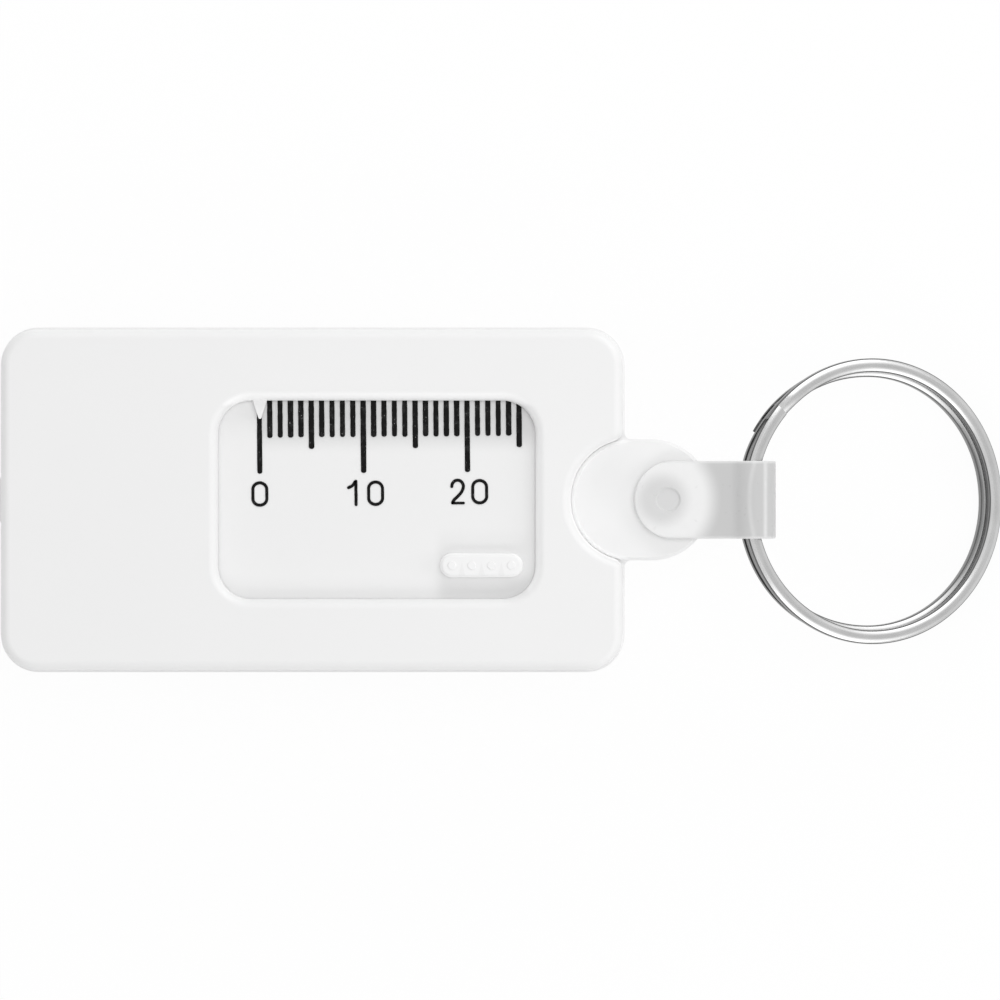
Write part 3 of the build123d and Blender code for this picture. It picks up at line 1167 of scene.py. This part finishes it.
@dataclass
class KeyStrap:
    """The folded band: it is made flat, with rounded edges, and then bent round the ring."""

    end_x: float = 31.05
    width: float = 7.5
    thickness: float = 0.8
    middle_z: float = 3.4
    arm_height: float = 1.7
    fold_x: float = 42.2
    fold_radius: float = 2.15
    blend_radius: float = 1.9
    edge_radius: float = 0.16
    flat_rows: tuple[float, ...] = (2.8, 1.6, 0.6)
    pivot_x: float = 34.3
    boss_radius: float = 2.22
    stud_radius: float = 1.22
    dimple_depth: float = 0.15
    dimple_slope: float = 0.2
    dimple_flare: float = 0.05
    sink: float = 0.2
    head_height: float = 0.3
    head_edge: float = 0.15

    def __post_init__(self) -> None:
        """Work out where the straight arms, the two blends and the fold meet."""
        rise = self.arm_height + self.blend_radius
        reach = self.fold_radius + self.blend_radius
        self.blend_back = math.sqrt(reach**2 - rise**2)
        self.blend_turn = math.atan2(self.blend_back, rise)
        self.arm_length = self.fold_x - self.blend_back - self.end_x
        self.blend_length = self.blend_radius * self.blend_turn
        self.fold_turn = math.pi + 2 * self.blend_turn
        self.fold_length = self.fold_radius * self.fold_turn
        self.total_length = 2 * (self.arm_length + self.blend_length) + self.fold_length

    def bent(self, along: float, across: float, out: float) -> Vector:
        """Bend a point of the flat band into its place.

        Args:
            along: Distance along the band from its upper end.
            across: Distance from its middle line.
            out: Height over its middle surface, outwards.

        Returns:
            The point on the folded strap.
        """
        sign = 1.0
        if along > self.total_length / 2:
            along = self.total_length - along
            sign = -1.0
        into_blend = along - self.arm_length
        into_fold = into_blend - self.blend_length
        if into_blend <= 0:
            x = self.end_x + along
            z = self.arm_height + out
        elif into_fold <= 0:
            angle = into_blend / self.blend_radius
            x = self.fold_x - self.blend_back + (self.blend_radius - out) * math.sin(angle)
            z = self.arm_height + self.blend_radius - (self.blend_radius - out) * math.cos(angle)
        else:
            angle = math.pi / 2 + self.blend_turn - into_fold / self.fold_radius
            x = self.fold_x + (self.fold_radius + out) * math.cos(angle)
            z = (self.fold_radius + out) * math.sin(angle)
        return Vector((x, across, self.middle_z + sign * z))

    def outline(self, inset: float) -> list[Point]:
        """Give the flat band's outline.

        Args:
            inset: How far inside the true edge it runs.

        Returns:
            Points of a closed loop with the same count for every inset.
        """
        centre = self.width / 2
        radius = max(centre - inset, 0)
        steps = 40
        straight = 150
        points = []
        for step in range(steps):
            angle = math.pi / 2 + math.pi * step / steps
            points.append((centre + radius * math.cos(angle), radius * math.sin(angle)))
        span = self.total_length - self.width
        points += [(centre + span * step / straight, -radius) for step in range(straight)]
        for step in range(steps):
            angle = -math.pi / 2 + math.pi * step / steps
            points.append((centre + span + radius * math.cos(angle), radius * math.sin(angle)))
        points += [(centre + span * (1 - step / straight), radius) for step in range(straight)]
        return points

    def band(self) -> Mesh:
        """Build the folded band without its stud.

        Returns:
            The closed band.
        """
        mesh = Mesh()
        half = self.thickness / 2
        steps = 4
        rows = [(inset, half) for inset in (self.width / 2, *self.flat_rows)]
        for step in range(steps + 1):
            angle = math.pi / 2 * step / steps
            inset = self.edge_radius * (1 - math.sin(angle))
            rows.append((inset, half - self.edge_radius * (1 - math.cos(angle))))
        rows += [(inset, -out) for inset, out in reversed(rows)]
        previous: list[int] = []
        for inset, out in rows:
            loop = mesh.loop([self.bent(along, across, out) for along, across in self.outline(inset)])
            if previous:
                mesh.bridge(previous, loop)
            previous = loop
        return mesh

    def turned(self, profile: Sequence[Point], steps: int = 64) -> Mesh:
        """Build a solid of revolution about the pivot's axis.

        Args:
            profile: Radius and height of its outline, from axis to axis.
            steps: Facets round it.

        Returns:
            The closed solid.
        """
        mesh = Mesh()
        previous: list[int] = []
        for radius, z in profile:
            circle = []
            for step in range(steps):
                angle = 2 * math.pi * step / steps
                circle.append((self.pivot_x + radius * math.cos(angle), radius * math.sin(angle), z))
            loop = mesh.loop(circle)
            if previous:
                mesh.bridge(previous, loop)
            previous = loop
        return mesh

    def build(self, frosted: bpy.types.Material) -> None:
        """Build the strap and hang it on its body.

        Args:
            frosted: Its finish.
        """
        outer = self.arm_height + self.thickness / 2
        inner = self.arm_height - self.thickness / 2
        top, bottom = self.middle_z + outer, self.middle_z - outer
        strap = self.band().make("folded_strap", frosted)
        low, high = self.middle_z - inner - self.sink, self.middle_z + inner + self.sink
        boss = self.turned([(0, low), (self.boss_radius, low), (self.boss_radius, high), (0, high)])
        radius, edge = self.stud_radius, self.head_edge
        low, high = bottom - self.head_height, bottom + self.sink
        head = self.turned([(0, low), (radius - edge, low), (radius, low + edge), (radius, high), (0, high)])
        low, high = top - self.dimple_depth, top + self.sink
        foot, mouth = radius - self.dimple_slope, radius + self.dimple_flare
        dimple = self.turned([(0, low), (foot, low), (radius, top), (mouth, high), (0, high)])
        for tool, operation in ((boss, "UNION"), (head, "UNION"), (dimple, "DIFFERENCE")):
            join(strap, tool.make("cutter", frosted), operation)
        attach(strap, "strap")
        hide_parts("key_strap")
        report(strap, "strap")


def join(piece: bpy.types.Object, tool: bpy.types.Object, operation: str) -> None:
    """Join a piece with another solid, or cut it by that solid, which is used up.

    Args:
        piece: The piece that changes.
        tool: The other solid.
        operation: UNION or DIFFERENCE.
    """
    piece.modifiers.clear()
    step = piece.modifiers.new("join", "BOOLEAN")
    step.operation = operation
    step.object = tool
    step.solver = "EXACT"
    graph = bpy.context.evaluated_depsgraph_get()
    result = bpy.data.meshes.new_from_object(piece.evaluated_get(graph))
    piece.modifiers.clear()
    old = piece.data
    piece.data = result
    name = old.name
    bpy.data.meshes.remove(old)
    result.name = name
    tidy_mesh(result)
    bpy.data.objects.remove(tool)
    keep_flat(piece)


@dataclass
class SplitRing:
    """The split ring: one crowned wire wound two turns, with one step and with ends ground to fit it."""

    outer_radius: float = 13.92
    wire_width: float = 1.35
    wire_thickness: float = 0.95
    crown_radius: float = 1.45
    corner_radius: float = 0.2
    crown_steps: int = 8
    corner_steps: int = 4
    layer_gap: float = 0.05
    lower_inset: float = 0.45
    end_flare: float = 0.15
    flare_span: float = 25.0
    tilt: float = 22.0
    seat_distance: float = 12.985
    aside: float = -0.14
    fold_x: float = 42.2
    fold_z: float = 3.4
    crossover_centre: float = 145.0
    crossover_span: float = 34.0
    upper_end: float = 138.0
    lower_end: float = 151.0
    degrees_a_step: float = 1.5

    def __post_init__(self) -> None:
        """Work out the wire's radius and the ring's centre and axes."""
        self.wire_radius = self.outer_radius - self.wire_width / 2
        angle = math.radians(self.tilt)
        self.outward = Vector((math.cos(angle), 0, -math.sin(angle)))
        self.axis = Vector((math.sin(angle), 0, math.cos(angle)))
        self.centre = Vector((self.fold_x, self.aside, self.fold_z)) + self.seat_distance * self.outward
        self.step_start = self.crossover_centre - self.crossover_span / 2
        self.step_end = self.crossover_centre + self.crossover_span / 2

    def stepped_down(self, wound: float) -> float:
        """Share of the step between the layers, which the wire takes after its first turn."""
        share = min(max((wound - 360 - self.step_start) / self.crossover_span, 0), 1)
        return share * share * (3 - 2 * share)

    def levels(self, wound: float) -> tuple[float, float]:
        """Give the wire's bottom and top over the ring's middle plane.

        Args:
            wound: Angle along the wire, counted on through the turns.

        Returns:
            Both heights; at each end they follow the step, flush with the ring's face.
        """
        half_ring = self.wire_thickness + self.layer_gap / 2
        if wound < self.step_end:
            return self.levels(wound + 360)[1] + self.layer_gap, half_ring
        if wound > self.step_start + 720:
            return -half_ring, self.levels(wound - 360)[0] - self.layer_gap
        middle = (0.5 - self.stepped_down(wound)) * (self.wire_thickness + self.layer_gap)
        return middle - self.wire_thickness / 2, middle + self.wire_thickness / 2

    def inset(self, wound: float) -> float:
        """Give how far the wire lies inside the upper turn: in its lower layer, and not beside the strap.

        Args:
            wound: Angle along the wire, counted on through the turns.

        Returns:
            Millimetres towards the ring's centre; below zero where the lower end stands out.
        """
        share = min(1 + math.cos(math.radians(wound)), 1)
        aside = self.lower_inset * share * share * (3 - 2 * share)
        flare = min(max((wound - 720 - self.lower_end + self.flare_span) / self.flare_span, 0), 1)
        return self.stepped_down(wound) * aside - self.end_flare * flare

    def half_width(self, level: float) -> float:
        """Give half the section's width at a height over its middle.

        Args:
            level: The height, which may be below zero.

        Returns:
            Half the width.
        """
        reach = self.crown_radius - self.corner_radius
        corner_x = self.wire_width / 2 - self.corner_radius
        low = self.wire_thickness / 2 - self.crown_radius
        corner_y = low + math.sqrt(reach**2 - corner_x**2)
        level = abs(level)
        if level <= corner_y:
            return self.wire_width / 2
        if level <= low + (corner_y - low) * self.crown_radius / reach:
            return corner_x + math.sqrt(self.corner_radius**2 - (level - corner_y) ** 2)
        return math.sqrt(self.crown_radius**2 - (level - low) ** 2)

    def half_section(self) -> list[Point]:
        """Give the upper half of the wire's section: a crowned face between two round corners.

        Returns:
            Points of width and thickness, from the outer side to the inner one.
        """
        low = self.wire_thickness / 2 - self.crown_radius
        reach = self.crown_radius - self.corner_radius
        edge = math.asin((self.wire_width / 2 - self.corner_radius) / reach)
        corner_x, corner_y = reach * math.sin(edge), low + reach * math.cos(edge)
        quarter = []
        for step in range(self.corner_steps):
            angle = edge + (math.pi / 2 - edge) * (1 - step / self.corner_steps)
            x = corner_x + self.corner_radius * math.sin(angle)
            quarter.append((x, corner_y + self.corner_radius * math.cos(angle)))
        crown = []
        for step in range(self.crown_steps + 1):
            angle = edge * (1 - 2 * step / self.crown_steps)
            crown.append((self.crown_radius * math.sin(angle), low + self.crown_radius * math.cos(angle)))
        return quarter + crown + [(-x, y) for x, y in reversed(quarter)]

    def section(self, wound: float) -> list[Vector]:
        """Give the wire's section at its place; where an end is ground down, it is cut at the ground level.

        Args:
            wound: Angle along the wire, counted on through the turns.

        Returns:
            The section's points.
        """
        bottom, top = self.levels(wound)
        half = self.wire_thickness / 2
        height = bottom + half if wound > self.step_start + 720 else top - half
        turned = math.radians(wound)
        spoke = self.outward * math.cos(turned) + Vector((0, 1, 0)) * math.sin(turned)
        middle = self.centre + spoke * (self.wire_radius - self.inset(wound)) + self.axis * height
        upper = self.half_section()
        points = []
        for x, y in upper + [(-x, -y) for x, y in upper]:
            ground = min(max(y, bottom - height), top - height)
            if ground != y:
                x = math.copysign(min(abs(x), self.half_width(ground)), x)
            points.append(middle + spoke * x + self.axis * ground)
        return points

    def build(self, nickel: bpy.types.Material) -> None:
        """Wind the wire and hang it on its body.

        Args:
            nickel: Its finish.
        """
        start, end = self.upper_end, self.lower_end + 720
        steps = round((end - start) / self.degrees_a_step)
        mesh = Mesh()
        loops = [mesh.loop(self.section(start + (end - start) * step / steps)) for step in range(steps + 1)]
        for first, second in zip(loops, loops[1:]):
            mesh.bridge(first, second)
        mesh.faces.append(tuple(loops[0]))
        mesh.faces.append(tuple(reversed(loops[-1])))
        ring = mesh.make("wound_ring", nickel)
        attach(ring, "ring")
        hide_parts("split_ring")
        report(ring, "ring")


class Ray(Enum):
    """Kinds of ray that a studio piece may be hidden from."""

    CAMERA = "visible_camera"
    DIFFUSE = "visible_diffuse"
    SHADOW = "visible_shadow"
    TRANSMISSION = "visible_transmission"


@dataclass(frozen=True)
class SoftBox:
    """A studio lamp: where it stands, what it aims at, its size and its power."""

    name: str
    place: tuple[float, float, float]
    size: tuple[float, float]
    watts: float
    aim: tuple[float, float, float] = (18.0, 0.0, 3.0)

    def hang(self) -> None:
        """Put the lamp in the scene, aimed at the object's middle."""
        lamp = bpy.data.lights.new(self.name, "AREA")
        lamp.shape = "RECTANGLE"
        lamp.size, lamp.size_y = (side * METRES for side in self.size)
        lamp.energy = self.watts
        holder = bpy.data.objects.new(self.name, lamp)
        holder.location = Vector(self.place) * METRES
        towards = Vector(self.aim) * METRES - holder.location
        holder.rotation_mode = "QUATERNION"
        holder.rotation_quaternion = towards.to_track_quat("-Z", "Y")
        holder.visible_glossy = False
        holder.visible_camera = False
        bpy.context.scene.collection.objects.link(holder)


@dataclass(frozen=True)
class Card:
    """A curved studio card that only gloss sees, placed by how it looks from the ring."""

    name: str
    azimuths: tuple[float, float]
    elevations: tuple[float, float]
    face: CardFace
    distance: float = 700.0
    centre_x: float = 54.0
    steps: int = 12

    def place(self, azimuth: float, elevation: float) -> tuple[float, float, float]:
        """Give the point at a direction, in degrees, from the ring.

        Args:
            azimuth: Degrees from the gauge's length.
            elevation: Degrees over its face.

        Returns:
            The point in millimetres.
        """
        turn, rise = math.radians(azimuth), math.radians(elevation)
        flat = self.distance * math.cos(rise)
        return self.centre_x + flat * math.cos(turn), flat * math.sin(turn), self.distance * math.sin(rise)

    def stand(self) -> None:
        """Put the card in the scene."""
        mesh = Mesh()
        previous: list[int] = []
        for row in range(self.steps + 1):
            low, high = self.elevations
            elevation = low + (high - low) * row / self.steps
            first, last = self.azimuths
            azimuths = [first + (last - first) * step / self.steps for step in range(self.steps + 1)]
            loop = mesh.loop([self.place(azimuth, elevation) for azimuth in azimuths])
            if previous:
                mesh.bridge(previous, loop, closed=False)
            previous = loop
        card = mesh.make(self.name, self.face.make())
        for ray in Ray:
            setattr(card, ray.value, False)
        card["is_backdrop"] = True


@dataclass
class Studio:
    """Floor, sky, lamps, cards and camera."""

    camera_x: float = 18.1
    camera_y: float = -0.02
    face_level: float = 6.8
    distance: float = 550.0
    frame_width: float = 96.06
    sensor: float = 36.0
    floor_gap: float = 0.2
    floor_size: float = 3000.0
    ambient: float = 0.565
    boxes: tuple[SoftBox, ...] = (
        SoftBox("key_box", (110, 60, 380), (260, 260), 0.33),
        SoftBox("back_box", (60, 620, 270), (900, 200), 1.35),
        SoftBox("front_box", (60, -580, 480), (900, 200), 1.1),
        SoftBox("right_box", (700, 0, 240), (300, 300), 0.7),
    )
    cards: tuple[Card, ...] = (
        Card("sweep_panel", (-80, 80), (25, 60), CardFace("lit_panel", glow=2.4)),
        Card("left_flag", (150, 210), (8, 32), CardFace()),
    )

    def sky(self) -> None:
        """White to the eye and in reflections; plain soft light for everything else."""
        world = bpy.data.worlds.new("studio_sky")
        world.use_nodes = True
        graph = Graph(world.node_tree)
        strength = self.ambient + (1 - self.ambient) * graph.seen()
        shader = graph.add("ShaderNodeBackground", None, {"Color": 1.0, "Strength": strength})
        graph.add("ShaderNodeOutputWorld", None, {"Surface": shader.outputs[0]})
        bpy.context.scene.world = world

    def floor(self, lowest: float) -> None:
        """Lay the floor under the object.

        Args:
            lowest: The object's lowest level.
        """
        half = self.floor_size / 2
        level = lowest - self.floor_gap
        mesh = Mesh()
        sides = ((-half, -half), (half, -half), (half, half), (-half, half))
        mesh.faces.append(tuple(mesh.loop([(x, y, level) for x, y in sides])))
        floor = mesh.make("floor", StudioFloor().make())
        floor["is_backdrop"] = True

    def camera(self) -> None:
        """Look straight down on the case's face, as the photograph does."""
        lens = self.sensor * self.distance / self.frame_width
        data = bpy.data.cameras.new("camera")
        data.sensor_width = self.sensor
        data.lens = lens
        data.clip_start, data.clip_end = 0.01, 10
        camera = bpy.data.objects.new("camera", data)
        place = Vector((self.camera_x, self.camera_y, self.face_level + self.distance))
        camera.location = place * METRES
        bpy.context.scene.collection.objects.link(camera)
        bpy.context.scene.camera = camera

    def build(self, lowest: float) -> None:
        """Set the studio up.

        Args:
            lowest: The object's lowest level in millimetres.
        """
        self.sky()
        self.floor(lowest)
        for box in self.boxes:
            box.hang()
        for card in self.cards:
            card.stand()
        self.camera()
        bpy.context.scene.view_settings.view_transform = "Standard"


def clear_scene() -> None:
    """Take away whatever the new file starts with."""
    for thing in list(bpy.data.objects):
        bpy.data.objects.remove(thing)


def corners(box: tuple[Vector, Vector]) -> list[list[float]]:
    """Give a box as plain numbers."""
    return [list(corner) for corner in box]


def main() -> None:
    """Build the gauge's looks piece by piece, then the studio round it."""
    logging.basicConfig(level=logging.INFO, format="%(name)s: %(message)s")
    clear_scene()
    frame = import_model()
    cad_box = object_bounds()
    nodes = frame["nodes"]
    white = CaseWhite().make()
    slide_white = SlideWhite().make()
    ink = StampedInk().make()
    CaseShells().build([nodes["front_cover"], nodes["back_cover"]], white)
    ScaleSlide().build(nodes["slide"], slide_white, ink)
    KeyStrap().build(FrostedStrap().make())
    SplitRing().build(NickelWire().make())
    Studio().build(cad_box[0].z / METRES)
    bpy.context.view_layer.update()


if __name__ == "__main__":
    main()
